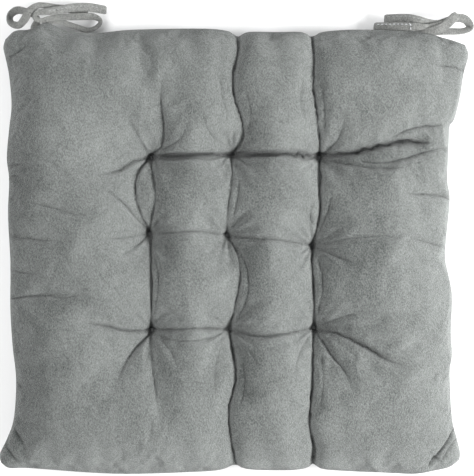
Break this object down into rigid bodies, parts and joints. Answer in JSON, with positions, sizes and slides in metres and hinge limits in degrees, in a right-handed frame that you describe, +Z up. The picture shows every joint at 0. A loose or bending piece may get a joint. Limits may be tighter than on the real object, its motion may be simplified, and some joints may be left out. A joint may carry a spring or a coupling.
{
  "type": "chair seat pad",
  "caption": "Square velvet seat pad with deep tufts, a plain sewn edge and a tied bow of folded straps at each back corner.",
  "frame": {"origin": "under the middle of the pad, on the surface that it rests on, ties left out", "axes": "+Z up through the pad's thickness, +Y to the back edge with the ties, +X to the right seen from the front"},
  "size_m": [0.4141, 0.4113, 0.0731],
  "materials": {
    "velvet": "short grey velvet pile",
    "underside_cloth": "matt woven cloth",
    "fibre": "loose polyester fibre",
    "grey_thread": "twisted sewing thread",
    "white_thread": "twisted sewing thread"
  },
  "bodies": {
    "pad": {"top_cover": "velvet", "bottom_cover": "underside_cloth", "fibre_filling": "fibre", "tuft_stitch_1_1": "grey_thread", "tuft_stitch_1_2": "grey_thread", "tuft_stitch_1_3": "grey_thread", "tuft_stitch_2_1": "grey_thread", "tuft_stitch_2_2": "grey_thread", "tuft_stitch_2_3": "grey_thread", "tuft_stitch_3_1": "grey_thread", "tuft_stitch_3_2": "grey_thread", "tuft_stitch_3_3": "grey_thread", "seam_needle_thread": "grey_thread", "seam_bobbin_thread": "grey_thread", "closing_stitch": "grey_thread", "left_tie_root_loop": "velvet", "left_tie_root_tail": "velvet", "right_tie_root_loop": "velvet", "right_tie_root_tail": "velvet"},
    "left_tie": {"left_tie_strap_loop": "velvet", "left_tie_strap_tail": "velvet", "left_tie_stitch_loop": "white_thread", "left_tie_stitch_tail": "white_thread"},
    "right_tie": {"right_tie_strap_loop": "velvet", "right_tie_strap_tail": "velvet", "right_tie_stitch_loop": "white_thread", "right_tie_stitch_tail": "white_thread"}
  },
  "joints": [
    {"name": "left_tie_swing", "type": "hinge", "parent": "pad", "child": "left_tie", "pos_m": [-0.162, 0.18899, 0.0352], "axis": [1, 0, 0], "range_deg": [0, 70]},
    {"name": "right_tie_swing", "type": "hinge", "parent": "pad", "child": "right_tie", "pos_m": [0.168, 0.18434, 0.0352], "axis": [1, 0, 0], "range_deg": [0, 35]}
  ]
}
